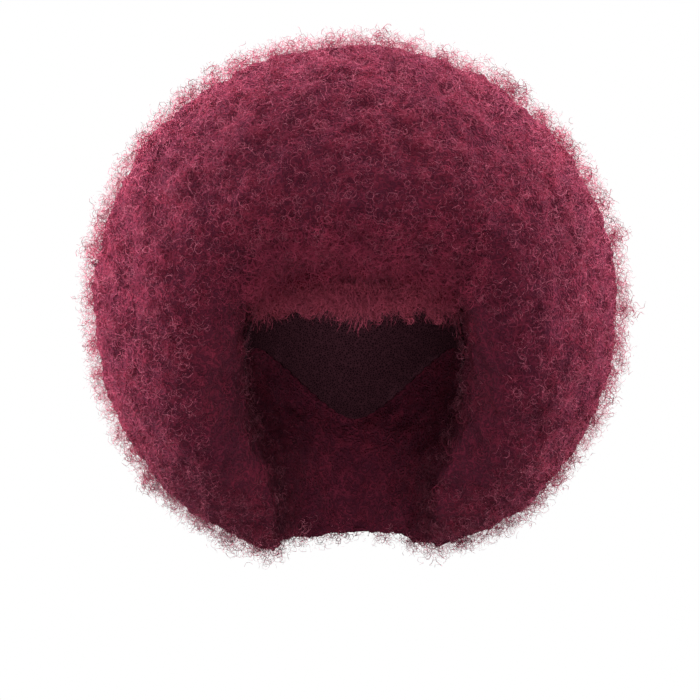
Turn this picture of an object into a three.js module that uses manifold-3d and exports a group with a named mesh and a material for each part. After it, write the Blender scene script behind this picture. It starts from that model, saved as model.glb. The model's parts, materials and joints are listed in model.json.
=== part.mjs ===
// Afro wig: a round mass of tight curls on a thin net cap, with a short fringe over the forehead.
// The curls are parted into a crown, a front, two sides and a back.
// Millimetres. +Z is up and the face looks along -Y. The origin is the inside top of the cap,
// where the crown of the head touches it.

import * as THREE from "three";
import { mergeVertices } from "three/addons/utils/BufferGeometryUtils.js";
import Module from "manifold-3d";

const wasm = await Module();
wasm.setup();

// Net cap, measured inside
const capWidth = 156; // over the ears
const capLength = 196; // forehead to the back of the head
const crownHeight = 96; // from the cap's widest level up to its top
const capWall = 2;
const foreheadDrop = 52; // crown to the cap's edge, at five places round it
const templeDrop = 76;
const earTabDrop = 126;
const earNotchDrop = 106;
const napeDrop = 156;

// Curls, from the outside of the cap to the ends of the longest locks
const sideHair = 105;
const crownHair = 104;
const frontHair = 64;
const backHair = 86;
const hairDrop = 259; // crown to the lowest curls
const seam = 0.3; // clear space between the cap, the sections of curls and the fringe

// Locks that make up the outside of the mass
const lockCount = 200;
const lockWidth = 88; // across one rounded lock end
const lockSpread = 3; // how far the shortest locks stay behind the longest
const lockRoot = 18; // from the ends of the longest locks down to the backing that joins them

// Face opening and the space for the neck
const faceWidth = 132; // between the curls beside the cheeks
const faceTopDrop = 66; // crown to the underside of the front curls
const cheekDrop = 142; // down to here the opening keeps its full width
const jawDrop = 206; // here it has narrowed to the neck
const openingCorner = 16;
const edgeRounding = 62; // the curls get shorter over this width beside and above the opening
const neckWidth = 94;
const neckLength = 116;
const neckSetback = 12; // the neck's middle lies this far behind the crown

// Fringe
const fringeDrop = 92; // crown to the tips of the longest fringe curls
const fringeThickness = 15;
const fringeBandHeight = 8;
const fringeLockCount = 13;
const browSpace = 3; // between the fringe and the forehead

// Facets
const capSides = 36;
const capRings = 18;
const lockSides = 8;
const massEdgeCount = 16; // edges that each edge of the ball's first icosahedron is split into
const cornerPoints = 5; // steps round each bend of the face opening

const capHalf = new THREE.Vector3(capWidth / 2, capLength / 2, crownHeight);

// Merges a closed geometry's shared corners and makes it a solid that can be cut and joined.
function solidOf(geometry) {
  const bare = new THREE.BufferGeometry();
  bare.setAttribute("position", geometry.getAttribute("position"));
  bare.setIndex(geometry.getIndex());
  const merged = mergeVertices(bare);
  return new wasm.Manifold(
    new wasm.Mesh({
      numProp: 3,
      vertProperties: merged.getAttribute("position").array,
      triVerts: Uint32Array.from(merged.getIndex().array),
    }),
  );
}

function geometryOf(solid) {
  const mesh = solid.getMesh();
  const geometry = new THREE.BufferGeometry();
  geometry.setAttribute("position", new THREE.BufferAttribute(mesh.vertProperties, 3));
  geometry.setIndex(new THREE.BufferAttribute(mesh.triVerts, 1));
  geometry.computeVertexNormals();
  return geometry;
}

// Head shape that stands proud of the cap's inside by a given amount
function headForm(proud) {
  const form = new THREE.SphereGeometry(1, capSides, capRings);
  form.rotateX(Math.PI / 2);
  form.scale(capHalf.x + proud, capHalf.y + proud, capHalf.z + proud);
  form.translate(0, 0, -crownHeight);
  return solidOf(form);
}

// Closed solid from corner points and triangles that are listed anticlockwise from outside
function solidFrom(points, faces) {
  const geometry = new THREE.BufferGeometry();
  geometry.setAttribute("position", new THREE.Float32BufferAttribute(points.flatMap((p) => [p.x, p.y, p.z]), 3));
  geometry.setIndex(faces);
  return solidOf(geometry);
}

// Closed solid through rings of points, all with as many points, each anticlockwise as seen from
// beyond the last ring. flatten gives a ring's point as that view shows it.
function loft(rings, flatten) {
  const sides = rings[0].length;
  const last = (rings.length - 1) * sides;
  const faces = [];
  for (let a = 0; a < last; a++) {
    const b = (a + 1) % sides ? a + 1 : a + 1 - sides;
    faces.push(a, b, b + sides, a, b + sides, a + sides);
  }
  for (const [a, b, c] of THREE.ShapeUtils.triangulateShape(rings[0].map(flatten), [])) {
    faces.push(a, c, b, last + a, last + b, last + c);
  }
  return solidFrom(rings.flat(), faces);
}

// Height of the cap's edge, from the forehead at turn 0 to the nape at turn 1
const capEdge = [
  { turn: 0, drop: foreheadDrop },
  { turn: 0.25, drop: templeDrop },
  { turn: 0.42, drop: earTabDrop },
  { turn: 0.5, drop: earTabDrop },
  { turn: 0.66, drop: earNotchDrop },
  { turn: 1, drop: napeDrop },
];

function edgeDrop(turn) {
  const next = Math.max(1, capEdge.findIndex((row) => row.turn >= turn));
  const from = capEdge[next - 1];
  const to = capEdge[next];
  const share = THREE.MathUtils.smoothstep(turn, from.turn, to.turn);
  return THREE.MathUtils.lerp(from.drop, to.drop, share);
}

// Everything below the cap's edge, as a wide plug whose wavy top is level from the middle outwards.
// Both shares are of the cap's half width and half length.
const plugShares = { outer: 2, inner: 0.5 };

function belowCapEdge() {
  const ring = (share, heightAt) => {
    const points = [];
    for (let side = 0; side < 2 * capSides; side++) {
      const angle = (Math.PI * side) / capSides;
      const turn = 1 - Math.abs(1 - angle / Math.PI);
      const x = share * capHalf.x * Math.sin(angle);
      const y = -share * capHalf.y * Math.cos(angle);
      points.push(new THREE.Vector3(x, y, heightAt(turn)));
    }
    return points;
  };
  const rim = (turn) => -edgeDrop(turn);
  const floor = -napeDrop - 2 * crownHeight;
  const rings = [ring(plugShares.outer, () => floor), ring(plugShares.outer, rim), ring(plugShares.inner, rim)];
  return loft(rings, (point) => new THREE.Vector2(point.x, point.y));
}

function netCap() {
  return headForm(capWall).subtract(headForm(0)).subtract(belowCapEdge());
}

// Size and middle of the curl mass, worked out from the cap and the hair on it
const massFront = -capHalf.y - capWall - frontHair;
const massBack = capHalf.y + capWall + backHair;
const massTop = capWall + crownHair;
const massHalf = new THREE.Vector3(
  capHalf.x + capWall + sideHair,
  (massBack - massFront) / 2,
  (massTop + hairDrop) / 2,
);
const massMiddle = new THREE.Vector3(0, (massBack + massFront) / 2, (massTop - hairDrop) / 2);

// The mass is a true ball above its middle and fuller below it, where the curls pile up. The power
// is 2 for a ball and grows as the sides get squarer.
const fullness = { abovePower: 2, belowPower: 2.1, startsBelow: -0.1, fullBelow: 0.5 };

function ballReach(direction) {
  const low = THREE.MathUtils.smoothstep(-direction.z, fullness.startsBelow, fullness.fullBelow);
  const power = THREE.MathUtils.lerp(fullness.abovePower, fullness.belowPower, low);
  const sum =
    Math.abs(direction.x / massHalf.x) ** power +
    Math.abs(direction.y / massHalf.y) ** power +
    Math.abs(direction.z / massHalf.z) ** power;
  return sum ** (-1 / power);
}

// Lock ends spread evenly over the ball in a spiral, each a little longer or shorter
const goldenAngle = Math.PI * (3 - Math.sqrt(5));

function lockEnds() {
  const radius = lockWidth / 2 / massHalf.z;
  const locks = [];
  for (let lock = 0; lock < lockCount; lock++) {
    const height = 1 - (2 * lock + 1) / lockCount;
    const ring = Math.sqrt(1 - height * height);
    const angle = goldenAngle * lock;
    const short = (lockSpread / massHalf.z) * (0.5 + 0.5 * Math.sin(lock * lock));
    locks.push({
      toward: new THREE.Vector3(ring * Math.cos(angle), ring * Math.sin(angle), height),
      distance: 1 - radius - short,
      radius,
    });
  }
  return locks;
}

// Beside the face and over the forehead the curls are shorter towards the opening, so that the mass
// rounds back to it. Each share is of a point's way forward from the crown.
const shortening = { forehead: 0.27, cheek: 0.5 };

function roundedBack(point) {
  const beside = Math.max(0, Math.abs(point.x) - faceWidth / 2);
  const above = Math.max(0, point.z + faceTopDrop);
  const near = 1 - Math.min(1, Math.hypot(beside, above) / edgeRounding);
  const low = THREE.MathUtils.smoothstep(-point.z, faceTopDrop, cheekDrop);
  const share = THREE.MathUtils.lerp(shortening.forehead, shortening.cheek, low);
  return point.y < 0 ? point.y * (1 - share * near * near) : point.y;
}

function curlBall() {
  const locks = lockEnds();
  const backing = 1 - lockRoot / massHalf.z;
  const ball = new THREE.IcosahedronGeometry(1, massEdgeCount - 1);
  const place = ball.getAttribute("position");
  const direction = new THREE.Vector3();
  for (let corner = 0; corner < place.count; corner++) {
    direction.fromBufferAttribute(place, corner).normalize();
    let share = backing;
    for (const lock of locks) {
      const along = lock.distance * direction.dot(lock.toward);
      const off = lock.distance * lock.distance - along * along;
      if (along > 0 && off < lock.radius * lock.radius) {
        share = Math.max(share, along + Math.sqrt(lock.radius * lock.radius - off));
      }
    }
    direction.multiplyScalar(share * ballReach(direction)).add(massMiddle);
    place.setXYZ(corner, direction.x, roundedBack(direction), direction.z);
  }
  return solidOf(ball);
}

// Neck space: an oval column that runs out below the mass
function neckSpace() {
  const column = new THREE.CylinderGeometry(1, 1, hairDrop - crownHeight + lockWidth, capSides);
  column.rotateX(Math.PI / 2);
  column.scale(neckWidth / 2, neckLength / 2, 1);
  column.translate(0, neckSetback, -(hairDrop + crownHeight + lockWidth) / 2);
  return solidOf(column);
}

// Outline of the face opening as seen from the front, its right half from the top down, drawn in
// from the curls by the given space
function faceOutline(space) {
  const half = faceWidth / 2 - space;
  const corner = openingCorner - space;
  const neck = neckWidth / 2 - space;
  const outline = new THREE.Path();
  outline.moveTo(0, -faceTopDrop - space);
  outline.lineTo(half - corner, -faceTopDrop - space);
  outline.absarc(half - corner, -faceTopDrop - openingCorner, corner, Math.PI / 2, 0, true);
  outline.lineTo(half, -cheekDrop);
  outline.bezierCurveTo(half, -(cheekDrop + jawDrop) / 2, neck, -(cheekDrop + jawDrop) / 2, neck, -jawDrop);
  outline.lineTo(neck, -hairDrop - lockWidth);
  return outline.getPoints(cornerPoints);
}

// The opening runs from the middle of the head out through the front.
function faceSpace(space) {
  const right = faceOutline(space);
  const left = right.slice(1).reverse();
  const shape = new THREE.Shape([...right, ...left.map((point) => new THREE.Vector2(-point.x, point.y))]);
  const opening = new THREE.ExtrudeGeometry(shape, { depth: -massFront + neckSetback, bevelEnabled: false });
  opening.rotateX(Math.PI / 2);
  opening.translate(0, neckSetback, 0);
  return solidOf(opening);
}

function curlMass() {
  return curlBall().subtract(headForm(capWall + seam)).subtract(neckSpace()).subtract(faceSpace(0));
}

// Partings: the crown stands in a cone that opens upwards from the middle of the head, the front is
// above the face opening, the back fans out behind the head, and the sides are what is left.
const crownTurn = (43 * Math.PI) / 180; // half angle of the cone on a round head
const frontDrop = 100; // the front section ends above here
const frontSetback = 40; // and this far in front of the crown

function crownCone(lift) {
  const height = crownHeight + massTop + lockWidth;
  const reach = Math.tan(crownTurn) * (height / crownHeight);
  const cone = new THREE.ConeGeometry(1, height, capSides);
  cone.rotateX(-Math.PI / 2);
  cone.scale(reach * capHalf.x, reach * capHalf.y, 1);
  cone.translate(0, 0, height / 2 - crownHeight + lift);
  return solidOf(cone);
}

function frontBlock(space) {
  const width = faceWidth - 2 * space;
  const block = new THREE.BoxGeometry(width, -massFront, frontDrop + massTop - space);
  block.translate(0, massFront / 2 - frontSetback - space, (massTop - frontDrop + space) / 2);
  return solidOf(block);
}

function backFan(shift) {
  const far = 2 * massBack;
  const side = (far * capHalf.x) / capHalf.y;
  const plan = new THREE.Shape([
    new THREE.Vector2(0, shift),
    new THREE.Vector2(side, far + shift),
    new THREE.Vector2(-side, far + shift),
  ]);
  const fan = new THREE.ExtrudeGeometry(plan, { depth: massTop + hairDrop, bevelEnabled: false });
  fan.translate(0, 0, -hairDrop);
  return solidOf(fan);
}

function sideHalf(side) {
  const half = new THREE.BoxGeometry(2 * massHalf.x, 4 * massBack, 4 * hairDrop);
  half.translate(side * (massHalf.x + seam / 2), 0, 0);
  return solidOf(half);
}

function curlSections() {
  const mass = curlMass();
  const round = mass.subtract(crownCone(0));
  const sides = round.subtract(frontBlock(0)).subtract(backFan(0));
  return {
    crown_curls: mass.intersect(crownCone(2 * seam)),
    front_curls: round.intersect(frontBlock(seam)),
    left_curls: sides.intersect(sideHalf(1)),
    right_curls: sides.intersect(sideHalf(-1)),
    back_curls: round.intersect(backFan(2 * seam)),
  };
}

// The fringe follows an oval just outside the forehead.
const fringeMiddle = new THREE.Vector2(
  capHalf.x + browSpace + fringeThickness / 2,
  capHalf.y + browSpace + fringeThickness / 2,
);
const fringeTop = -faceTopDrop - seam;
const fringeReach = faceWidth / 2 - seam;
const fringeTurn = Math.asin(fringeReach / fringeMiddle.x);

function fringeBand() {
  const half = fringeThickness / 2;
  const arc = (proud, from, to) => {
    const curve = new THREE.EllipseCurve(0, 0, fringeMiddle.x + proud, fringeMiddle.y + proud, from, to, from > to);
    return curve.getPoints(fringeLockCount);
  };
  const start = -Math.PI / 2 - fringeTurn;
  const end = -Math.PI / 2 + fringeTurn;
  const shape = new THREE.Shape([...arc(half, start, end), ...arc(-half, end, start)]);
  const band = new THREE.ExtrudeGeometry(shape, { depth: fringeBandHeight, bevelEnabled: false });
  band.translate(0, 0, fringeTop - fringeBandHeight);
  return solidOf(band);
}

// Fringe curls: their width as a share of the space between two, their thickness as one of the
// fringe's, the shortest as one of the longest, and the outermost as one of the way to the end
const curlShares = { wide: 0.62, thick: 0.48, shortest: 0.72, outermost: 0.94 };

// One hanging curl, thick at its root and bent to one side near its tip
const curlRings = [
  { down: 0, size: 0.8, aside: 0 },
  { down: 0.25, size: 1, aside: 0.1 },
  { down: 0.6, size: 0.85, aside: -0.15 },
  { down: 0.85, size: 0.55, aside: 0.3 },
  { down: 1, size: 0.2, aside: 0.7 },
];

function fringeCurl(turn, length, side) {
  const spacing = (2 * fringeTurn * fringeMiddle.x) / fringeLockCount;
  const wide = curlShares.wide * spacing;
  const thick = curlShares.thick * fringeThickness;
  const outward = new THREE.Vector3(Math.sin(turn), -Math.cos(turn), 0);
  const along = new THREE.Vector3(Math.cos(turn), Math.sin(turn), 0);
  const root = new THREE.Vector3(
    fringeMiddle.x * outward.x,
    fringeMiddle.y * outward.y,
    fringeTop - fringeBandHeight / 4,
  );
  const rings = curlRings.map(({ down, size, aside }) => {
    const centre = root.clone().addScaledVector(along, side * aside * wide);
    centre.z -= down * length;
    const ring = [];
    for (let step = 0; step < lockSides; step++) {
      const angle = (2 * Math.PI * step) / lockSides;
      ring.push(
        centre
          .clone()
          .addScaledVector(along, size * wide * Math.cos(angle))
          .addScaledVector(outward, size * thick * Math.sin(angle)),
      );
    }
    return ring;
  });
  return loft(rings, (point) => new THREE.Vector2(point.x, -point.y));
}

function fringe() {
  let whole = fringeBand();
  for (let curl = 0; curl < fringeLockCount; curl++) {
    const share = (curl + 0.5) / fringeLockCount;
    const turn = (2 * share - 1) * fringeTurn * curlShares.outermost;
    const longest = fringeDrop + fringeTop - fringeBandHeight / 4;
    const grown = 0.5 + 0.5 * Math.sin(3 * curl);
    const length = longest * THREE.MathUtils.lerp(curlShares.shortest, 1, grown);
    whole = whole.add(fringeCurl(turn, length, curl % 2 ? 1 : -1));
  }
  return whole.intersect(faceSpace(seam));
}

const burgundy = new THREE.MeshStandardMaterial({ color: 0x6e2a3c, roughness: 0.7, metalness: 0 });
const darkNet = new THREE.MeshStandardMaterial({ color: 0x2c1a20, roughness: 0.9, metalness: 0 });
const burgundyTips = new THREE.MeshStandardMaterial({ color: 0x83374a, roughness: 0.7, metalness: 0 });

const wig = new THREE.Group();
const pieces = [
  { name: "net_cap", solid: netCap(), material: darkNet },
  ...Object.entries(curlSections()).map(([name, solid]) => ({ name, solid, material: burgundy })),
  { name: "fringe", solid: fringe(), material: burgundyTips },
];
for (const { name, solid, material } of pieces) {
  const mesh = new THREE.Mesh(geometryOf(solid), material);
  mesh.name = name;
  wig.add(mesh);
}

export default wig;
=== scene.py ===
import json
import math

import bpy
import numpy as np
from mathutils import Matrix, Vector
from mathutils.bvhtree import BVHTree
from mathutils.kdtree import KDTree

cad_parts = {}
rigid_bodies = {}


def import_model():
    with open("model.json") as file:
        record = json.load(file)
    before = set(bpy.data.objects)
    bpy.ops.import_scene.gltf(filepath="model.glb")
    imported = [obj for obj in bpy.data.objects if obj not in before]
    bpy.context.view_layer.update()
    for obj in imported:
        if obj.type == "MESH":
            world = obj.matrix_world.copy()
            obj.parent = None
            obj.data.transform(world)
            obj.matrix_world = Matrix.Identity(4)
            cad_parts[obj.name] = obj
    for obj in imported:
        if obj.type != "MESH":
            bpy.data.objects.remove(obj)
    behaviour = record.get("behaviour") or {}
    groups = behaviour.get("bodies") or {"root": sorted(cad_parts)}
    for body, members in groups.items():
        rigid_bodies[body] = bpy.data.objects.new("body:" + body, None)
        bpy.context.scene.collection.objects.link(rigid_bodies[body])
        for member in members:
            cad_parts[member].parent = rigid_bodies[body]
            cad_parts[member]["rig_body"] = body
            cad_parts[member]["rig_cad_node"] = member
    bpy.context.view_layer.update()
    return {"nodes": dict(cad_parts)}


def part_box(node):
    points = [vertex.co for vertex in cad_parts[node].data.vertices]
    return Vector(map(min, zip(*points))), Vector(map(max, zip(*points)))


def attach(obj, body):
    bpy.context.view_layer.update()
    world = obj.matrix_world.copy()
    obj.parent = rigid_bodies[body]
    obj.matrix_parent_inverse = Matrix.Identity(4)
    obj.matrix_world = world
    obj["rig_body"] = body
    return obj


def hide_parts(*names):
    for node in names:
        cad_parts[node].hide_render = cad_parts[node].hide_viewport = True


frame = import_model()
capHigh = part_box("net_cap")[1]
sections = ("crown_curls", "front_curls", "left_curls", "right_curls", "back_curls")
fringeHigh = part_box("fringe")[1]

# The space for the head, the same on both sides: half sizes and the level of its widest part
headSpace = {
    "halfWidth": capHigh.x,
    "halfLength": capHigh.y,
    "halfHeight": 0.098,
    "widestLevel": -0.096,
}
neckSpace = {"halfWidth": 0.047, "halfLength": 0.058, "setback": 0.012, "top": -0.150}
wigMiddle = Vector((0, 0.012, -0.074))
mergeDistance = 0.00001  # corners of a loose triangle mesh that are one point


def clearSelection():
    if bpy.context.object and bpy.context.object.mode != "OBJECT":
        bpy.ops.object.mode_set(mode="OBJECT")
    bpy.ops.object.select_all(action="DESELECT")


def pick(piece):
    clearSelection()
    piece.select_set(True)
    bpy.context.view_layer.objects.active = piece


def copyOfNode(node, name):
    pick(frame["nodes"][node])
    bpy.ops.object.duplicate()
    piece = bpy.context.object
    piece.name = name
    piece.parent = None
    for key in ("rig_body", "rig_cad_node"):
        if key in piece:
            del piece[key]
    bpy.ops.object.mode_set(mode="EDIT")
    bpy.ops.mesh.select_all(action="SELECT")
    bpy.ops.mesh.remove_doubles(threshold=mergeDistance)
    bpy.ops.object.mode_set(mode="OBJECT")
    return piece


# Colours of the dyed fibre, from the painted shade between the curls to the pale ends that also paint light
# on the tips; inner is a painted glow
fibreColours = {
    "shade": (0.070, 0.016, 0.034, 1),
    "body": (0.232, 0.029, 0.063, 1),
    "warm": (0.330, 0.037, 0.073, 1),
    "ends": (0.510, 0.070, 0.124, 1),
    "inner": (0.800, 0.230, 0.330, 1),
}
fringeColours = {
    "shade": (0.090, 0.020, 0.034, 1),
    "body": (0.460, 0.067, 0.122, 1),
    "warm": (0.550, 0.084, 0.144, 1),
    "ends": (0.750, 0.140, 0.220, 1),
    "inner": (0.620, 0.110, 0.170, 1),
}
# Painted light: a lighter copy of the fibre colours for the front curls over the fringe, which the front of
# the mass shades
coverColours = {
    "shade": (0.130, 0.026, 0.052, 1),
    "body": (0.360, 0.042, 0.093, 1),
    "warm": (0.450, 0.052, 0.108, 1),
    "ends": (0.660, 0.100, 0.170, 1),
    "inner": (0.740, 0.150, 0.240, 1),
}
# Painted light: a paler copy of the fibre colours for the loose strands, standing in for light glowing
# through thin hair at the outline
flyawayColours = {
    "shade": (0.180, 0.030, 0.060, 1),
    "body": (0.420, 0.070, 0.130, 1),
    "warm": (0.520, 0.095, 0.160, 1),
    "ends": (0.780, 0.240, 0.330, 1),
    "inner": (0.950, 0.340, 0.460, 1),
}
cellsAcross = 90  # strands lie in this many columns on their colour map
ringBend = 0.006  # how far noise pushes the painted curls of the undercoat out of round
softSheen = {"roughness": 0.4, "tint": (1.0, 0.38, 0.52, 1), "onStrands": 0.19, "onUndercoat": 0.10}
# Random patches and paler strands, with painted shade at the roots, in the clump partings and between the
# painted rings, and painted light on the tips
toneAndPaintedLight = {
    "patches": {"Patch Size": 0.045, "Strength": 0.75},
    "dips": {"Patch Size": 0.014, "Strength": 0.4},
    "deeperDips": {"Patch Size": 0.014, "Strength": 0.5},
    "paleStrands": (0.5, 1.0),
    "paleTips": (0.45, 0.95),
    "roots": {"span": (0.1, 0.5), "strength": 0.3},
    "partings": {"span": (0.45, 1.0), "strength": 0.8},
    "betweenRings": 0.65,
}


def newGroup(name, inputs, outputs):
    group = bpy.data.node_groups.new(name, "ShaderNodeTree")
    for label, kind, value in inputs:
        socket = group.interface.new_socket(label, in_out="INPUT", socket_type="NodeSocket" + kind)
        if value is not None:
            socket.default_value = value
    for label, kind in outputs:
        group.interface.new_socket(label, in_out="OUTPUT", socket_type="NodeSocket" + kind)
    start = group.nodes.new("NodeGroupInput")
    end = group.nodes.new("NodeGroupOutput")
    return group, start.outputs, end.inputs


def addNode(tree, kind, settings=None, inputs=None):
    node = tree.nodes.new("ShaderNode" + kind)
    for key, value in (settings or {}).items():
        setattr(node, key, value)
    for key, value in (inputs or {}).items():
        if isinstance(value, bpy.types.NodeSocket):
            tree.links.new(value, node.inputs[key])
        else:
            node.inputs[key].default_value = value
    return node


def mixColours(tree, factor, first, second, blend="MIX"):
    node = addNode(tree, "Mix", {"data_type": "RGBA", "blend_type": blend})
    for key, value in ((0, factor), (6, first), (7, second)):
        if isinstance(value, bpy.types.NodeSocket):
            tree.links.new(value, node.inputs[key])
        else:
            node.inputs[key].default_value = value
    return node.outputs[2]


def makePatchGroup():
    # Soft random patches over the whole wig, which make the colour warmer and, in places, darker
    group, given, result = newGroup(
        "Tone Patches",
        [("Patch Size", "Float", 0.05), ("Strength", "Float", 0.5)],
        [("Warmth", "Float")],
    )
    where = addNode(group, "TexCoord").outputs["Object"]
    scale = addNode(group, "Math", {"operation": "DIVIDE"}, {0: 1.0, 1: given["Patch Size"]}).outputs[0]
    noise = addNode(
        group, "TexNoise", {}, {"Vector": where, "Scale": scale, "Detail": 3.0, "Roughness": 0.6}
    )
    spread = addNode(
        group, "MapRange", {}, {"Value": noise.outputs["Fac"], "From Min": 0.32, "From Max": 0.68}
    ).outputs[0]
    scaled = addNode(group, "Math", {"operation": "MULTIPLY"}, {0: spread, 1: given["Strength"]})
    group.links.new(scaled.outputs[0], result["Warmth"])
    return group


def makeStrandGroup():
    # Reads a strand's own cell on the colour map: one random number for the strand and the way along it
    group, given, result = newGroup(
        "Strand Cell",
        [("Cells Across", "Float", cellsAcross)],
        [("Random", "Float"), ("Along", "Float")],
    )
    uv = addNode(group, "UVMap", {"uv_map": "OFBake"}).outputs[0]
    grid = addNode(
        group, "VectorMath", {"operation": "SCALE"}, {0: uv, "Scale": given["Cells Across"]}
    ).outputs[0]
    cell = addNode(group, "VectorMath", {"operation": "FLOOR"}, {0: grid}).outputs[0]
    rest = addNode(group, "VectorMath", {"operation": "FRACTION"}, {0: grid}).outputs[0]
    split = addNode(group, "SeparateXYZ", {}, {0: rest})
    noise = addNode(group, "TexWhiteNoise", {"noise_dimensions": "2D"}, {"Vector": cell})
    group.links.new(noise.outputs["Value"], result["Random"])
    group.links.new(split.outputs["Y"], result["Along"])
    return group


def makeCurlReliefGroup():
    # Rings of tiny curls, used where the curls are too deep or too small to be strands
    group, given, result = newGroup(
        "Tiny Curls",
        [("Curl Size", "Float", 0.004), ("Rings", "Float", 2.2)],
        [("Height", "Float"), ("Lit", "Float")],
    )
    where = addNode(group, "TexCoord").outputs["Object"]
    scale = addNode(group, "Math", {"operation": "DIVIDE"}, {0: 1.0, 1: given["Curl Size"]}).outputs[0]
    bend = addNode(group, "TexNoise", {}, {"Vector": where, "Scale": scale, "Detail": 2.0})
    push = addNode(
        group, "VectorMath", {"operation": "SCALE"}, {0: bend.outputs["Color"], "Scale": ringBend}
    ).outputs[0]
    bent = addNode(group, "VectorMath", {"operation": "ADD"}, {0: where, 1: push}).outputs[0]
    cells = addNode(group, "TexVoronoi", {}, {"Vector": bent, "Scale": scale})
    rings = addNode(
        group, "Math", {"operation": "MULTIPLY"}, {0: cells.outputs["Distance"], 1: given["Rings"]}
    ).outputs[0]
    turn = addNode(group, "Math", {"operation": "MULTIPLY"}, {0: rings, 1: 2 * math.pi}).outputs[0]
    wave = addNode(group, "Math", {"operation": "SINE"}, {0: turn}).outputs[0]
    lit = addNode(group, "MapRange", {}, {"Value": wave, "From Min": -1.0, "From Max": 1.0}).outputs[0]
    # The same wave gives the bump and the painted light and shade of the rings
    group.links.new(lit, result["Height"])
    group.links.new(lit, result["Lit"])
    return group


tonePatches = makePatchGroup()
strandCell = makeStrandGroup()
tinyCurls = makeCurlReliefGroup()


def easedMask(tree, value, span, result):
    return addNode(
        tree, "MapRange", {"interpolation_type": "SMOOTHSTEP"},
        {"Value": value, "From Min": span[0], "From Max": span[1], "To Min": result[0], "To Max": result[1]},
    ).outputs[0]


def useGroup(tree, group, inputs):
    node = tree.nodes.new("ShaderNodeGroup")
    node.node_tree = group
    for key, value in inputs.items():
        node.inputs[key].default_value = value
    return node.outputs


def newMaterial(name, shader):
    material = bpy.data.materials.new(name)
    material.use_nodes = True
    tree = material.node_tree
    principled = tree.nodes["Principled BSDF"]
    for key, value in shader.items():
        principled.inputs[key].default_value = value
    return material, tree, principled


def fibreMaterial(name, tones, lift, tips):
    material, tree, shader = newMaterial(
        name,
        {"Roughness": 0.65, "Specular IOR Level": 0.0, "Sheen Weight": softSheen["onStrands"],
         "Sheen Roughness": softSheen["roughness"], "Sheen Tint": softSheen["tint"]},
    )
    patch = useGroup(tree, tonePatches, toneAndPaintedLight["patches"])
    dip = useGroup(tree, tonePatches, toneAndPaintedLight["dips"])
    strand = useGroup(tree, strandCell, {"Cells Across": cellsAcross})
    base = mixColours(tree, patch["Warmth"], tones["body"], tones["warm"])
    # Random darker patches, mixed towards the shade colour
    base = mixColours(tree, dip["Warmth"], base, tones["shade"])
    pale = easedMask(tree, strand["Random"], toneAndPaintedLight["paleStrands"], (0.0, lift))
    dyed = mixColours(tree, pale, base, tones["ends"])
    # Painted light: the tips are paler, where they stand out of the mass into the light
    tip = easedMask(tree, strand["Along"], toneAndPaintedLight["paleTips"], (0.0, tips))
    dyed = mixColours(tree, tip, dyed, tones["ends"])
    # Painted shade: each strand is darker towards its root, deep in the mass
    roots = toneAndPaintedLight["roots"]
    root = easedMask(tree, strand["Along"], roots["span"], (roots["strength"], 0.0))
    dyed = mixColours(tree, root, dyed, tones["shade"])
    # Painted shade: strands far from the middle of their clump are darkened, where shade falls between the
    # clumps
    edge = addNode(tree, "Attribute", {"attribute_name": "clumpEdge"}).outputs["Fac"]
    partings = toneAndPaintedLight["partings"]
    parted = easedMask(tree, edge, partings["span"], (0.0, partings["strength"]))
    dyed = mixColours(tree, parted, dyed, tones["shade"])
    # The inner side of a thin strand is paler, as light glows through it
    inner = addNode(tree, "NewGeometry").outputs["Backfacing"]
    tree.links.new(mixColours(tree, inner, dyed, tones["inner"]), shader.inputs["Base Color"])
    return material


def undercoatMaterial(tones):
    material, tree, shader = newMaterial(
        "dense_undercoat",
        {"Roughness": 0.9, "Specular IOR Level": 0.0, "Sheen Weight": softSheen["onUndercoat"],
         "Sheen Roughness": softSheen["roughness"], "Sheen Tint": softSheen["tint"]},
    )
    patch = useGroup(tree, tonePatches, toneAndPaintedLight["patches"])
    dip = useGroup(tree, tonePatches, toneAndPaintedLight["deeperDips"])
    curl = useGroup(tree, tinyCurls, {"Curl Size": 0.0042, "Rings": 2.0})
    base = mixColours(tree, patch["Warmth"], tones["body"], tones["warm"])
    base = mixColours(tree, dip["Warmth"], base, tones["shade"])
    # Painted shade between the painted rings, and painted light on their crests
    deep = mixColours(tree, toneAndPaintedLight["betweenRings"], base, tones["shade"])
    tree.links.new(mixColours(tree, curl["Lit"], deep, base), shader.inputs["Base Color"])
    bump = addNode(tree, "Bump", {}, {"Height": curl["Height"], "Strength": 0.8, "Distance": 0.0015})
    tree.links.new(bump.outputs[0], shader.inputs["Normal"])
    return material


curledFibre = fibreMaterial("curled_fibre", fibreColours, lift=0.3, tips=0.3)
flyawayFibre = fibreMaterial("flyaway_fibre", flyawayColours, lift=0.5, tips=0.6)
fringeFibre = fibreMaterial("fringe_fibre", fringeColours, lift=0.3, tips=0.4)
coverFibre = fibreMaterial("cover_fibre", coverColours, lift=0.3, tips=0.3)
denseUndercoat = undercoatMaterial(fibreColours)
print("materials made")

# Dense undercoat: the curls and the fringe as one soft form each, a little smaller than the strands
# that will stand on it and rough all over
forms = {
    "undercoat": {
        "nodes": sections, "voxel": 0.0040, "evened": 36, "drawnIn": 0.0050, "sunk": 0.0018,
        "slot": "curled_fibre",
    },
    "fringe_root": {
        "nodes": ("fringe",), "voxel": 0.0017, "evened": 8, "drawnIn": 0.0036, "sunk": 0.0,
        "slot": "fringe_fibre",
    },
}
roughness = {"lumps": (0.014, 0.006), "fuzz": (0.0035, 0.004)}  # size and height
closePartings = 0.0004  # the sections grow by this before they are joined
outerFaces = {"facing": 0.6, "evened": 6}


def surfaceOf(piece):
    mesh = piece.data
    mesh.calc_loop_triangles()
    place = np.zeros(len(mesh.vertices) * 3)
    mesh.vertices.foreach_get("co", place)
    faces = np.zeros(len(mesh.loop_triangles) * 3, int)
    mesh.loop_triangles.foreach_get("vertices", faces)
    return place.reshape(-1, 3), faces.reshape(-1, 3)


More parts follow.
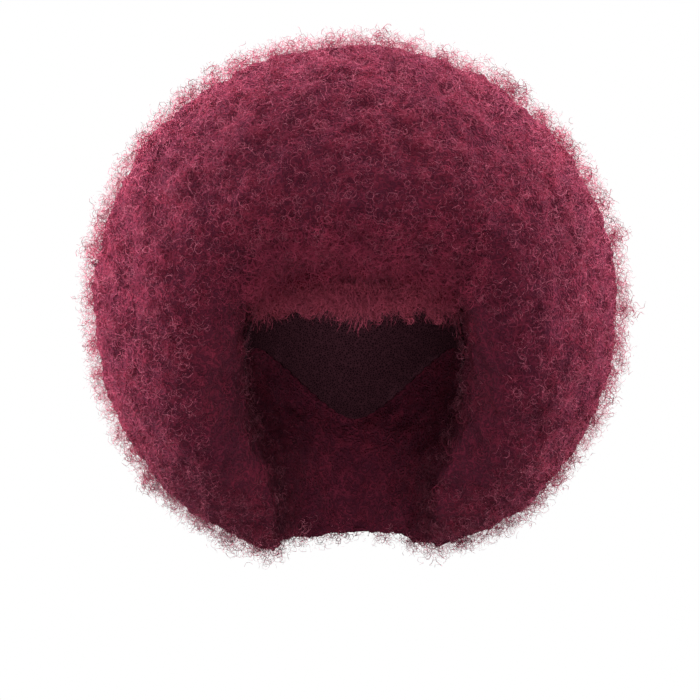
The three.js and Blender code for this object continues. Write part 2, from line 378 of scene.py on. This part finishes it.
def joinedForm(name):
    size = forms[name]
    pieces = [copyOfNode(node, name) for node in size["nodes"]]
    clearSelection()
    for piece in pieces:
        piece.select_set(True)
    bpy.context.view_layer.objects.active = pieces[0]
    if len(pieces) > 1:
        # The partings are closed before the sections are joined
        bpy.ops.object.mode_set(mode="EDIT")
        bpy.ops.mesh.select_all(action="SELECT")
        bpy.ops.transform.shrink_fatten(value=closePartings)
        bpy.ops.object.mode_set(mode="OBJECT")
        bpy.ops.object.join()
    form = bpy.context.object
    form.data.remesh_voxel_size = size["voxel"]
    bpy.ops.object.voxel_remesh()
    bpy.ops.object.mode_set(mode="EDIT")
    bpy.ops.mesh.select_all(action="SELECT")
    bpy.ops.mesh.vertices_smooth(factor=0.5, repeat=size["evened"])
    bpy.ops.object.mode_set(mode="OBJECT")
    return form


def displace(piece, name, size, strength):
    texture = bpy.data.textures.new(name, "CLOUDS")
    texture.noise_scale = size
    texture.noise_depth = 1
    modifier = piece.modifiers.new(name, "DISPLACE")
    modifier.texture = texture
    modifier.texture_coords = "LOCAL"
    modifier.strength = strength
    modifier.mid_level = 0.5
    bpy.ops.object.modifier_apply(modifier=modifier.name)


def sinkOuterFaces(piece, depth):
    # The outside lies deeper than the rest, so that strands alone draw the outline
    bpy.ops.object.mode_set(mode="EDIT")
    bpy.ops.mesh.select_all(action="DESELECT")
    bpy.ops.object.mode_set(mode="OBJECT")
    for face in piece.data.polygons:
        away = (face.center - wigMiddle).normalized()
        face.select = away.dot(face.normal) > outerFaces["facing"]
    bpy.ops.object.mode_set(mode="EDIT")
    bpy.ops.transform.shrink_fatten(value=-depth)
    bpy.ops.mesh.select_all(action="SELECT")
    bpy.ops.mesh.vertices_smooth(factor=0.5, repeat=outerFaces["evened"])
    bpy.ops.object.mode_set(mode="OBJECT")


def makeUndercoat(name):
    size = forms[name]
    piece = joinedForm(name)
    surface = surfaceOf(piece)
    bpy.ops.object.mode_set(mode="EDIT")
    bpy.ops.mesh.select_all(action="SELECT")
    bpy.ops.transform.shrink_fatten(value=-size["drawnIn"])
    bpy.ops.object.mode_set(mode="OBJECT")
    if size["sunk"]:
        sinkOuterFaces(piece, size["sunk"])
    share = size["voxel"] / forms["undercoat"]["voxel"]
    for label, (spread, strength) in roughness.items():
        displace(piece, label, spread * share, strength * share)
    bpy.ops.object.shade_smooth()
    piece.data.materials.clear()
    piece.data.materials.append(denseUndercoat)
    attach(piece, "root")
    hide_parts(*size["nodes"])
    print(piece.name, "made, triangles", sum(len(p.vertices) - 2 for p in piece.data.polygons))
    return surface


massSurface = makeUndercoat("undercoat")
fringeSurface = makeUndercoat("fringe_root")

# Curls: fine ribbons wound in small coils, rooted in the undercoat and standing out of it in clumps
curls = {
    "seed": 11,
    "count": 28000,
    "segments": 9,
    "turns": (1.1, 2.1),
    "radius": (0.0015, 0.0034),
    "width": 0.00044,
    "depth": {"outer": 0.0105, "dish": 0.009, "inner": 0.006},
    "proud": {"outer": 0.0030, "dish": 0.001, "inner": 0.0},
    "uneven": 0.0023,
    "scatter": 0.28,
    "lengths": (0.75, 1.0),
    "widths": (0.7, 1.15),
    "insideShare": {"drop": 0.2, "radius": 0.75, "rounding": 0.3},
}
rooting = {"spare": 1.33, "besideCap": 0.004, "besideNeck": 0.003, "dishFacing": 0.55}
coil = {
    "narrowest": 0.45,
    "swell": 0.55,
    "swellSpan": (0.12, 0.85),
    "wobble": (0.25, 5),
    "bend": 0.28,
    "jitter": 0.00022,
    "lean": (0.1, 0.8),
    "taper": 0.55,
}
clumps = {
    "spacing": 0.0175,
    "sizes": (0.6, 1.3),
    "height": 0.0085,
    "uneven": 0.0027,
    "splay": 1.2,
    "rounding": 1.5,
    "edge": 0.6,
    "farthest": 1.3,
    "tries": 14000,
}
flyaways = {
    "seed": 37,
    "count": 15400,
    "segments": 7,
    "turns": (0.7, 1.6),
    "radius": (0.0014, 0.0032),
    "width": 0.00024,
    "depth": 0.010,
    "proud": 0.0062,
    "thinning": 1.6,
    "scatter": 0.6,
    "lengths": (0.6, 1.0),
    "widths": (0.7, 1.2),
}


def unit(vectors):
    return vectors / (np.linalg.norm(vectors, axis=-1, keepdims=True) + 1e-12)


def normalsOf(corners, faces):
    a, b, c = (corners[faces[:, k]] for k in range(3))
    flat = np.cross(b - a, c - a)
    normals = np.zeros_like(corners)
    for k in range(3):
        np.add.at(normals, faces[:, k], flat)
    return unit(normals), np.linalg.norm(flat, axis=1) / 2


def insideHead(place, proud):
    x = place[:, 0] / (headSpace["halfWidth"] + proud)
    y = place[:, 1] / (headSpace["halfLength"] + proud)
    z = (place[:, 2] - headSpace["widestLevel"]) / (headSpace["halfHeight"] + proud)
    return x * x + y * y + z * z < 1


def insideNeck(place, proud):
    x = place[:, 0] / (neckSpace["halfWidth"] + proud)
    y = (place[:, 1] - neckSpace["setback"]) / (neckSpace["halfLength"] + proud)
    return (x * x + y * y < 1) & (place[:, 2] < neckSpace["top"])


def scatterOn(rng, surface, count):
    corners, faces = surface
    normals, areas = normalsOf(corners, faces)
    chosen = rng.choice(len(faces), count, p=areas / areas.sum())
    r1, r2 = rng.random((2, count))
    s1 = np.sqrt(r1)
    shares = np.stack([1 - s1, s1 * (1 - r2), s1 * r2], axis=1)
    place = np.einsum("nk,nkc->nc", shares, corners[faces[chosen]])
    normal = unit(np.einsum("nk,nkc->nc", shares, normals[faces[chosen]]))
    return place, normal


def besideCap(place, seated, space):
    corners, faces = surfaceOf(frame["nodes"]["net_cap"])
    tree = BVHTree.FromPolygons(corners.tolist(), faces.tolist())
    beside = np.zeros(len(place), bool)
    for index in np.flatnonzero(seated):
        beside[index] = tree.find_nearest(Vector(place[index]), space)[0] is not None
    return beside


def clumpCentres(rng, place):
    spacing = clumps["spacing"]
    tree = {}
    centres = []
    for index in rng.permutation(len(place))[:clumps["tries"]]:
        p = place[index]
        key = tuple((p // spacing).astype(int))
        near = (
            q
            for dx in (-1, 0, 1)
            for dy in (-1, 0, 1)
            for dz in (-1, 0, 1)
            for q in tree.get((key[0] + dx, key[1] + dy, key[2] + dz), ())
        )
        if all(np.sum((p - q) ** 2) > spacing * spacing for q in near):
            tree.setdefault(key, []).append(p)
            centres.append(p)
    return np.array(centres)


def partIntoClumps(rng, place, normal):
    # For each root its way from the middle of its clump, in clump spacings, and the clump's own size
    # and lift
    centres = clumpCentres(rng, place)
    tree = KDTree(len(centres))
    for index, p in enumerate(centres):
        tree.insert(p, index)
    tree.balance()
    clump = np.array([tree.find(p)[1] for p in place])
    off = (place - centres[clump]) / clumps["spacing"]
    off -= normal * np.sum(off * normal, axis=1, keepdims=True)
    size = rng.uniform(*clumps["sizes"], len(centres))
    lift = rng.normal(0, clumps["uneven"], len(centres))
    return off, size[clump], lift[clump]


def sideAxes(axis, rng):
    other = unit(np.cross(axis, unit(rng.normal(size=axis.shape))))
    return other, np.cross(axis, other)


def ribbonMesh(name, left, right, outward, parting):
    # Every stretch of ribbon is shaded mostly as the mass under it would be
    count, rows = left.shape[:2]
    away = outward[:, None]
    flat = np.cross(np.gradient((left + right) / 2, axis=1), right - left)
    flat *= np.sign(np.sum(flat * away, axis=2, keepdims=True) + 1e-20)
    shading = np.repeat(unit(0.8 * away + 0.2 * unit(flat)), 2, axis=1).reshape(-1, 3)
    places = np.stack([left, right], axis=2)
    corner = np.arange(count * rows * 2).reshape(count, rows, 2)
    quads = np.stack([corner[:, :-1, 0], corner[:, :-1, 1], corner[:, 1:, 1], corner[:, 1:, 0]], axis=2)
    facing = np.cross(right[:, :-1] - left[:, :-1], left[:, 1:] - left[:, :-1])
    turned = np.sum(facing * away, axis=2) < 0
    quads[turned] = quads[turned][:, ::-1]
    quads = quads.reshape(-1, 4)
    mesh = bpy.data.meshes.new(name)
    mesh.vertices.add(places.size // 3)
    mesh.vertices.foreach_set("co", places.astype(np.float32).ravel())
    mesh.loops.add(quads.size)
    mesh.loops.foreach_set("vertex_index", quads.astype(np.int32).ravel())
    mesh.polygons.add(len(quads))
    mesh.polygons.foreach_set("loop_start", np.arange(0, quads.size, 4, dtype=np.int32))
    mesh.polygons.foreach_set("use_smooth", np.ones(len(quads), bool))
    mesh.update(calc_edges=True)
    # Each strand has its own cell on the colour map, so its dye can differ from its neighbours'
    margin = 0.14
    cell = np.arange(count)[:, None, None]
    across = np.array([margin, 1 - margin])[None, None, :]
    along = np.linspace(margin, 1 - margin, rows)[None, :, None]
    u = (cell % cellsAcross + across + 0 * along) / cellsAcross
    v = (cell // cellsAcross + along + 0 * across) / cellsAcross
    uv = np.stack([u, v], axis=3).reshape(-1, 2)[quads.ravel()]
    layer = mesh.uv_layers.new(name="OFBake")
    layer.data.foreach_set("uv", uv.astype(np.float32).ravel())
    mesh.normals_split_custom_set_from_vertices(shading.tolist())
    # clumpEdge is the strand's way from the middle of its clump; the material paints shade by it
    edge = mesh.attributes.new("clumpEdge", "FLOAT", "POINT")
    edge.data.foreach_set("value", np.repeat(parting, 2 * rows).astype(np.float32))
    piece = bpy.data.objects.new(name, mesh)
    bpy.context.scene.collection.objects.link(piece)
    return piece


def addStrands(name, left, right, outward, parting, material):
    piece = ribbonMesh(name, left, right, outward, parting)
    piece.data.materials.append(material)
    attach(piece, "root")
    print(name, "strands", len(left), "triangles", 2 * len(piece.data.polygons))


def windStrands(rng, root, axis, length, radius, turns, width, segments):
    # Points along each strand's coil, and the ribbon's two edges there
    count = len(root)
    t = np.linspace(0, 1, segments + 1)[None, :]
    first, second = sideAxes(axis, rng)
    hand = rng.choice([-1.0, 1.0], count)[:, None]
    angle = rng.random((count, 1)) * 2 * math.pi + hand * 2 * math.pi * turns[:, None] * t
    start, stretch = coil["swellSpan"]
    wobble, waves = coil["wobble"]
    opened = np.sin(math.pi * np.clip(start + stretch * t, 0, 1))
    uneven = 1 + wobble * np.sin(waves * t + angle[:, :1])
    swell = coil["narrowest"] + coil["swell"] * opened * uneven
    reach = radius[:, None] * swell
    radial = np.cos(angle)[..., None] * first[:, None] + np.sin(angle)[..., None] * second[:, None]
    sag = (length[:, None] * coil["bend"] * t * t)[..., None]
    bend = unit(rng.normal(size=(count, 3)))[:, None] * sag
    centre = root[:, None] + axis[:, None] * (length[:, None] * t)[..., None] + bend
    jitter = rng.normal(size=(count, segments + 1, 3)) * coil["jitter"]
    points = centre + radial * reach[..., None] + jitter
    lean = rng.uniform(*coil["lean"], (count, 1))[..., None]
    side = unit(np.cos(lean) * radial + np.sin(lean) * axis[:, None])
    half = (width[:, None] * (1 - coil["taper"] * t**3) / 2)[..., None]
    return points - side * half, points + side * half


def rootsOnMass(rng, count):
    # Places for roots all over the mass but where the cap lies against it. The kind is 0 on the
    # outside, 1 in the dish round the face opening and 2 inside.
    place, normal = scatterOn(rng, massSurface, int(count * rooting["spare"]))
    seated = insideHead(place, rooting["besideCap"])
    hidden = besideCap(place, seated, rooting["besideCap"])
    place, normal, seated = (values[~hidden][:count] for values in (place, normal, seated))
    outward = unit(place - np.array(wigMiddle))
    inner = seated | insideNeck(place, rooting["besideNeck"])
    dish = ~inner & (np.sum(outward * normal, axis=1) < rooting["dishFacing"])
    return place, normal, outward, np.where(inner, 2, np.where(dish, 1, 0))


def growCurls():
    rng = np.random.default_rng(curls["seed"])
    place, normal, outward, kind = rootsOnMass(rng, curls["count"])
    count = len(place)
    depth, proud = (
        np.array([curls[key][k] for k in ("outer", "dish", "inner")])[kind] for key in ("depth", "proud")
    )
    inside = curls["insideShare"]
    off, size, lift = partIntoClumps(rng, place, normal)
    away = np.linalg.norm(off, axis=1) / clumps["edge"]
    drop = clumps["height"] * size * np.clip(away, 0, clumps["farthest"]) ** 2
    drop *= np.where(kind == 2, inside["drop"], 1)
    lean = off * size[:, None]
    axis = unit(normal + clumps["splay"] * lean + curls["scatter"] * rng.normal(size=place.shape))
    reach = proud - drop + np.where(kind == 0, lift, 0) + rng.normal(0, curls["uneven"], count)
    length = depth * rng.uniform(*curls["lengths"], count)
    root = place + normal * reach[:, None] - axis * length[:, None]
    radius = rng.uniform(*curls["radius"], count) * np.where(kind == 2, inside["radius"], 1)
    turns = rng.uniform(*curls["turns"], count)
    width = curls["width"] * rng.uniform(*curls["widths"], count)
    left, right = windStrands(rng, root, axis, length, radius, turns, width, curls["segments"])
    facing = np.where((kind == 0)[:, None], 0.5 * normal + 0.5 * outward, normal)
    rounding = clumps["rounding"] * np.where(kind == 2, inside["rounding"], 1)
    shade = unit(facing + rounding[:, None] * lean)
    region = regionOf(place, kind)
    for number, name in enumerate(regionNames):
        mine = np.flatnonzero(region == number)
        addStrands(name, left[mine], right[mine], shade[mine], away[mine], curledFibre)


def growFlyaways():
    rng = np.random.default_rng(flyaways["seed"])
    place, normal, outward, kind = rootsOnMass(rng, 2 * flyaways["count"])
    place, normal, outward = (values[kind == 0][:flyaways["count"]] for values in (place, normal, outward))
    count = len(place)
    axis = unit(normal + flyaways["scatter"] * rng.normal(size=place.shape))
    length = flyaways["depth"] * rng.uniform(*flyaways["lengths"], count)
    reach = flyaways["proud"] * rng.random(count) ** flyaways["thinning"]
    root = place + normal * reach[:, None] - axis * length[:, None]
    radius = rng.uniform(*flyaways["radius"], count)
    turns = rng.uniform(*flyaways["turns"], count)
    width = flyaways["width"] * rng.uniform(*flyaways["widths"], count)
    left, right = windStrands(rng, root, axis, length, radius, turns, width, flyaways["segments"])
    for name, mine in (("left_flyaways", place[:, 0] >= 0), ("right_flyaways", place[:, 0] < 0)):
        parting = np.zeros(np.count_nonzero(mine))
        addStrands(name, left[mine], right[mine], outward[mine], parting, flyawayFibre)


regionNames = (
    "crown_strands",
    "front_strands",
    "left_strands",
    "right_strands",
    "back_strands",
    "nape_strands",
    "inner_strands",
)
regionEdges = {"side": 0.085, "front": -0.02, "nape": -0.12, "crown": 0.010}


def regionOf(place, kind):
    # The numbers are places in regionNames
    x, y, z = place.T
    region = np.full(len(place), 4)
    region[x > regionEdges["side"]] = 2
    region[x < -regionEdges["side"]] = 3
    central = np.abs(x) <= regionEdges["side"]
    region[central & (y < regionEdges["front"])] = 1
    region[central & (y >= regionEdges["front"]) & (z < regionEdges["nape"])] = 5
    region[z > regionEdges["crown"]] = 0
    region[kind == 1] = 1
    region[kind == 2] = 6
    return region


growCurls()
growFlyaways()

# Fringe: short curls all over it, and loose coils that hang from it in wisps
fringe = {
    "seed": 23,
    "shortCurls": {
        "count": 2600,
        "depth": 0.007,
        "turns": (0.9, 1.9),
        "radius": (0.0010, 0.0026),
        "segments": 10,
        "scatter": 0.4,
        "lengths": (0.7, 1.0),
        "uneven": 0.001,
    },
    "cover": {
        "count": 5000,
        "turns": (1.2, 2.4),
        "radius": (0.0014, 0.0034),
        "segments": 9,
        "height": 0.005,
        "proud": 0.004,
        "low": (-0.088, -0.170, -0.080),
        "high": (0.088, -0.096, -0.024),
        "thinning": 0.034,
        "lengths": (0.008, 0.015),
        "hang": 0.6,
        "splay": 0.9,
        "scatter": 0.25,
        "partings": (0.1, 0.8),
    },
    "wisps": {
        "count": 1700,
        "turns": (1.2, 2.8),
        "radius": (0.0010, 0.0030),
        "segments": 16,
        "reach": 0.97,
        "browSpace": 0.010,
        "depthSpread": 0.0035,
        "rootSpread": (-0.004, 0.010),
        "tipSpread": 0.007,
        "tipWave": (0.002, 700),
        "shortest": 0.004,
        "outward": 0.10,
        "scatter": 0.22,
    },
    "width": 0.00038,
    "widths": (0.65, 1.1),
}
wispTips = [
    {"across": -0.066, "level": -0.097},
    {"across": -0.041, "level": -0.084},
    {"across": -0.012, "level": -0.088},
    {"across": 0.003, "level": -0.094},
    {"across": 0.016, "level": -0.088},
    {"across": 0.048, "level": -0.087},
    {"across": 0.066, "level": -0.097},
]


def browCurve(x, proud):
    # The line of the forehead at a distance across, and the way out from it
    wide = headSpace["halfWidth"] + proud
    deep = headSpace["halfLength"] + proud
    bow = np.sqrt(1 - (x / wide) ** 2)
    return -deep * bow, unit(np.stack([x / wide**2, -bow / deep, 0 * x], axis=1))


def curlOver(rng, name, size, root, axis, length, outward, parting, material):
    count = len(root)
    radius = rng.uniform(*size["radius"], count)
    turns = rng.uniform(*size["turns"], count)
    width = fringe["width"] * rng.uniform(*fringe["widths"], count)
    left, right = windStrands(rng, root, axis, length, radius, turns, width, size["segments"])
    addStrands(name, left, right, outward, parting, material)


def growShortCurls(rng):
    size = fringe["shortCurls"]
    place, normal = scatterOn(rng, fringeSurface, size["count"])
    axis = unit(normal + size["scatter"] * rng.normal(size=place.shape))
    length = size["depth"] * rng.uniform(*size["lengths"], size["count"])
    lift = rng.normal(0, size["uneven"], size["count"])
    root = place + normal * lift[:, None] - axis * length[:, None]
    parting = np.zeros(size["count"])
    curlOver(rng, "fringe_curls", size, root, axis, length, normal, parting, fringeFibre)


def growCover(rng):
    # Curls of the front that fall over the top of the fringe, so that it grows out of the mass. They
    # thin out towards the crown and the sides.
    # Their lighter colours are painted light, where the front of the mass shades them.
    size = fringe["cover"]
    count = size["count"]
    corners, faces = massSurface
    middle = corners[faces].mean(axis=1)
    near = np.all((middle > size["low"]) & (middle < size["high"]), axis=1)
    place, normal = scatterOn(rng, (corners, faces[near]), count)
    upwards = np.clip((size["high"][2] - place[:, 2]) / size["thinning"], 0, 1)
    sideways = np.clip((size["high"][0] - np.abs(place[:, 0])) / size["thinning"], 0, 1)
    kept = rng.random(count) < upwards * sideways
    place, normal = place[kept], normal[kept]
    count = len(place)
    off, _, lift = partIntoClumps(rng, place, normal)
    away = np.linalg.norm(off, axis=1) / clumps["edge"]
    drop = size["height"] * np.clip(away, 0, clumps["farthest"]) ** 2
    hang = np.array([[0, 0, -size["hang"]]])
    splay = size["splay"] * (normal + off)
    axis = unit(hang + splay + size["scatter"] * rng.normal(size=(count, 3)))
    length = rng.uniform(*size["lengths"], count)
    root = place + normal * (size["proud"] - drop + lift)[:, None] - 0.5 * axis * length[:, None]
    shade = unit(normal + 0.5 * clumps["rounding"] * off)
    parting = away * rng.uniform(*size["partings"], count)
    curlOver(rng, "fringe_cover", size, root, axis, length, shade, parting, coverFibre)


def growWisps(rng):
    size = fringe["wisps"]
    count = size["count"]
    x = rng.uniform(-size["reach"], size["reach"], count) * fringeHigh.x
    y, outward = browCurve(x, size["browSpace"])
    y += rng.normal(0, size["depthSpread"], count)
    top = fringeHigh.z - rng.uniform(*size["rootSpread"], count)
    level = np.interp(x, [row["across"] for row in wispTips], [row["level"] for row in wispTips])
    wave, waves = size["tipWave"]
    tip = level + size["tipSpread"] * np.abs(rng.normal(size=count)) + wave * np.sin(waves * x)
    length = np.maximum(top - tip, size["shortest"])
    down = np.array([[0, 0, -1.0]])
    axis = unit(down + size["outward"] * outward + size["scatter"] * rng.normal(size=(count, 3)))
    root = np.stack([x, y, top], axis=1)
    parting = rng.random(count) ** 2
    curlOver(rng, "fringe_wisps", size, root, axis, length, outward, parting, fringeFibre)


def growFringe():
    rng = np.random.default_rng(fringe["seed"])
    growShortCurls(rng)
    growCover(rng)
    growWisps(rng)


growFringe()

# Net cap
capStyle = {
    "thread": (0.110, 0.036, 0.052, 1),
    # The gap colour is painted shade where the net is open
    "gap": (0.030, 0.010, 0.016, 1),
    "meshSize": 0.0016,
    "threadEdge": (0.08, 0.18),
    "sharpEdges": 40,
}


def netMaterial():
    material, tree, shader = newMaterial("cap_net", {"Roughness": 0.9, "Specular IOR Level": 0.0})
    where = addNode(tree, "TexCoord").outputs["Object"]
    cells = addNode(
        tree, "TexVoronoi", {"feature": "DISTANCE_TO_EDGE"},
        {"Vector": where, "Scale": 1 / capStyle["meshSize"]},
    )
    low, high = capStyle["threadEdge"]
    thread = addNode(
        tree, "MapRange", {}, {"Value": cells.outputs["Distance"], "From Min": low, "From Max": high}
    ).outputs[0]
    net = mixColours(tree, thread, capStyle["thread"], capStyle["gap"])
    tree.links.new(net, shader.inputs["Base Color"])
    return material


def dressCap():
    piece = copyOfNode("net_cap", "stretch_cap")
    bpy.ops.object.shade_smooth_by_angle(angle=math.radians(capStyle["sharpEdges"]))
    piece.data.materials.clear()
    piece.data.materials.append(netMaterial())
    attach(piece, "root")
    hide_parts("net_cap")
    print("cap made")


dressCap()

# Camera: level with the face and straight on, far enough back for a portrait
camera = {
    "distance": 1.6,
    "metresAcross": 0.4704,
    "sideways": -0.0028,
    "level": -0.1077,
    "plane": 0.012,
    "sensor": 36,
}


def addCamera():
    clearSelection()
    place = (camera["sideways"], camera["plane"] - camera["distance"], camera["level"])
    bpy.ops.object.camera_add(location=place, rotation=(math.pi / 2, 0, 0))
    lens = bpy.context.object
    lens.data.sensor_width = camera["sensor"]
    lens.data.lens = camera["sensor"] * camera["distance"] / camera["metresAcross"]
    bpy.context.scene.camera = lens


addCamera()

# Studio: white surroundings, a pale floor far below the held wig, big soft lights
studio = {
    "floorLevel": -1.62,
    "floorSize": 60,
    "aim": (0, 0.01, -0.07),
    "surroundings": 0.17,
    "lights": {
        "top_softbox": {"place": (0.10, 0.62, 1.50), "size": 1.4, "power": 72},
        "left_rim": {"place": (-1.60, 0.55, 0.2), "size": 1.3, "power": 82},
        "right_rim": {"place": (1.60, 0.55, 0.2), "size": 1.3, "power": 60},
        "front_fill": {"place": (-0.2, -1.6, 1.4), "size": 1.4, "power": 8},
        "low_fill": {"place": (0.1, -1.9, -0.7), "size": 1.6, "power": 13},
    },
}


def makeWorld():
    world = bpy.data.worlds.new("white_surroundings")
    bpy.context.scene.world = world
    world.use_nodes = True
    tree = world.node_tree
    background = tree.nodes["Background"]
    background.inputs["Color"].default_value = (1, 1, 1, 1)
    ray = addNode(tree, "LightPath").outputs["Is Camera Ray"]
    strength = addNode(
        tree, "MapRange", {}, {"Value": ray, "To Min": studio["surroundings"], "To Max": 1.0}
    ).outputs[0]
    tree.links.new(strength, background.inputs["Strength"])


def layFloor():
    clearSelection()
    bpy.ops.mesh.primitive_plane_add(size=studio["floorSize"], location=(0, 0, 0))
    floor = bpy.context.object
    floor.name = "floor"
    floor.data.transform(Matrix.Translation((0, 0, studio["floorLevel"])))
    floor.visible_diffuse = False
    material = newMaterial(
        "pale_floor",
        {"Base Color": (0, 0, 0, 1), "Roughness": 1.0, "Specular IOR Level": 0.0,
         "Emission Color": (1, 1, 1, 1), "Emission Strength": 1.0},
    )[0]
    floor.data.materials.append(material)


def lightStudio():
    aim = Vector(studio["aim"])
    for name, size in studio["lights"].items():
        clearSelection()
        bpy.ops.object.light_add(type="AREA", location=size["place"])
        light = bpy.context.object
        light.name = name
        light.data.shape = "DISK"
        light.data.size = size["size"]
        light.data.energy = size["power"]
        light.rotation_euler = (aim - Vector(size["place"])).to_track_quat("-Z", "Y").to_euler()
    bpy.context.scene.view_settings.view_transform = "Standard"


makeWorld()
layFloor()
lightStudio()
print("studio lit")
